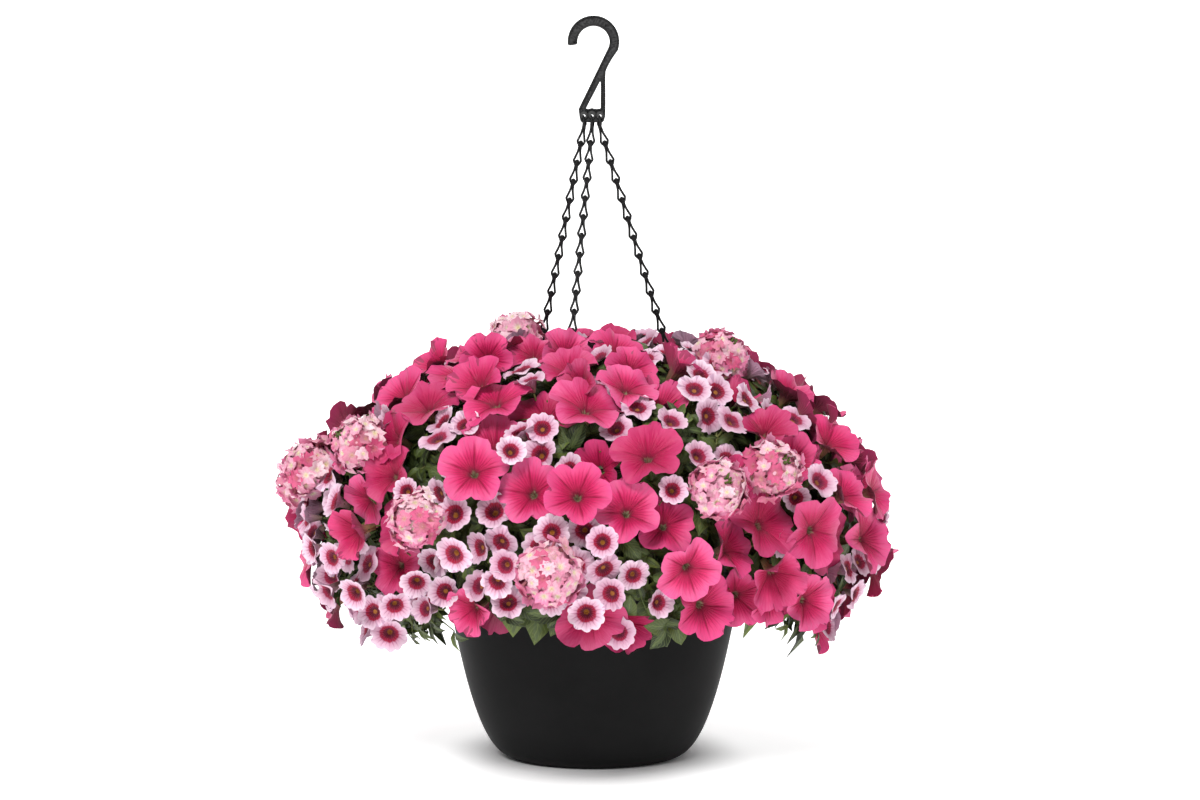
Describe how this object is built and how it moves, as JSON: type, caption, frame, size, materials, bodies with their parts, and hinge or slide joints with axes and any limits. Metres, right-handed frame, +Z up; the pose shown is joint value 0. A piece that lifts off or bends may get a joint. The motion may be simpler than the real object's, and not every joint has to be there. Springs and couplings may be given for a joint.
{
  "type": "flowering hanging basket",
  "caption": "Round moulded plastic pot overflowing with trumpet blooms, small ringed blooms and rounded flower heads, hung by wire-link chains from a moulded hook.",
  "frame": {"origin": "centre of the pot's flat foot, on the surface that the pot stands on", "axes": "+Z up along the pot's axis to the hook's crown; the front of the basket faces -Y"},
  "size_m": [0.6167, 0.5956, 0.737],
  "materials": {
    "pot_plastic": "satin black moulded",
    "hook_plastic": "satin black moulded",
    "chain_wire": "black coated wire",
    "soil": "loose dark potting mix of bark and peat",
    "leaf_green": "mid green leaves and stems",
    "petunia_pink": "velvety hot-pink petals with crimson veins",
    "calibrachoa_pale": "pale pink petals with a crimson ring",
    "verbena_pink": "pink and cream florets"
  },
  "bodies": {
    "root": {"calibrachoa_spray_01": "calibrachoa_pale", "calibrachoa_spray_02": "calibrachoa_pale", "calibrachoa_spray_03": "calibrachoa_pale", "calibrachoa_spray_04": "calibrachoa_pale", "calibrachoa_spray_05": "calibrachoa_pale", "calibrachoa_spray_06": "calibrachoa_pale", "calibrachoa_spray_07": "calibrachoa_pale", "calibrachoa_spray_08": "calibrachoa_pale", "calibrachoa_spray_09": "calibrachoa_pale", "calibrachoa_spray_10": "calibrachoa_pale", "calibrachoa_spray_11": "calibrachoa_pale", "calibrachoa_spray_12": "calibrachoa_pale", "calibrachoa_spray_13": "calibrachoa_pale", "calibrachoa_spray_14": "calibrachoa_pale", "calibrachoa_spray_15": "calibrachoa_pale", "calibrachoa_spray_16": "calibrachoa_pale", "calibrachoa_spray_17": "calibrachoa_pale", "calibrachoa_spray_18": "calibrachoa_pale", "chain_front": "chain_wire", "chain_left": "chain_wire", "chain_right": "chain_wire", "hook": "hook_plastic", "petunia_spray_01": "petunia_pink", "petunia_spray_02": "petunia_pink", "petunia_spray_03": "petunia_pink", "petunia_spray_04": "petunia_pink", "petunia_spray_05": "petunia_pink", "petunia_spray_06": "petunia_pink", "petunia_spray_07": "petunia_pink", "petunia_spray_08": "petunia_pink", "petunia_spray_09": "petunia_pink", "petunia_spray_10": "petunia_pink", "petunia_spray_11": "petunia_pink", "petunia_spray_12": "petunia_pink", "petunia_spray_13": "petunia_pink", "petunia_spray_14": "petunia_pink", "petunia_spray_15": "petunia_pink", "petunia_spray_16": "petunia_pink", "petunia_spray_17": "petunia_pink", "petunia_spray_18": "petunia_pink", "petunia_spray_19": "petunia_pink", "petunia_spray_20": "petunia_pink", "petunia_spray_21": "petunia_pink", "pot": "pot_plastic", "soil": "soil", "verbena_stem_01": "verbena_pink", "verbena_stem_02": "verbena_pink", "verbena_stem_03": "verbena_pink", "verbena_stem_04": "verbena_pink", "verbena_stem_05": "verbena_pink", "verbena_stem_06": "verbena_pink", "verbena_stem_07": "verbena_pink", "verbena_stem_08": "verbena_pink", "verbena_stem_09": "verbena_pink", "verbena_stem_10": "verbena_pink", "verbena_stem_11": "verbena_pink", "verbena_stem_12": "verbena_pink"}
  },
  "joints": []
}
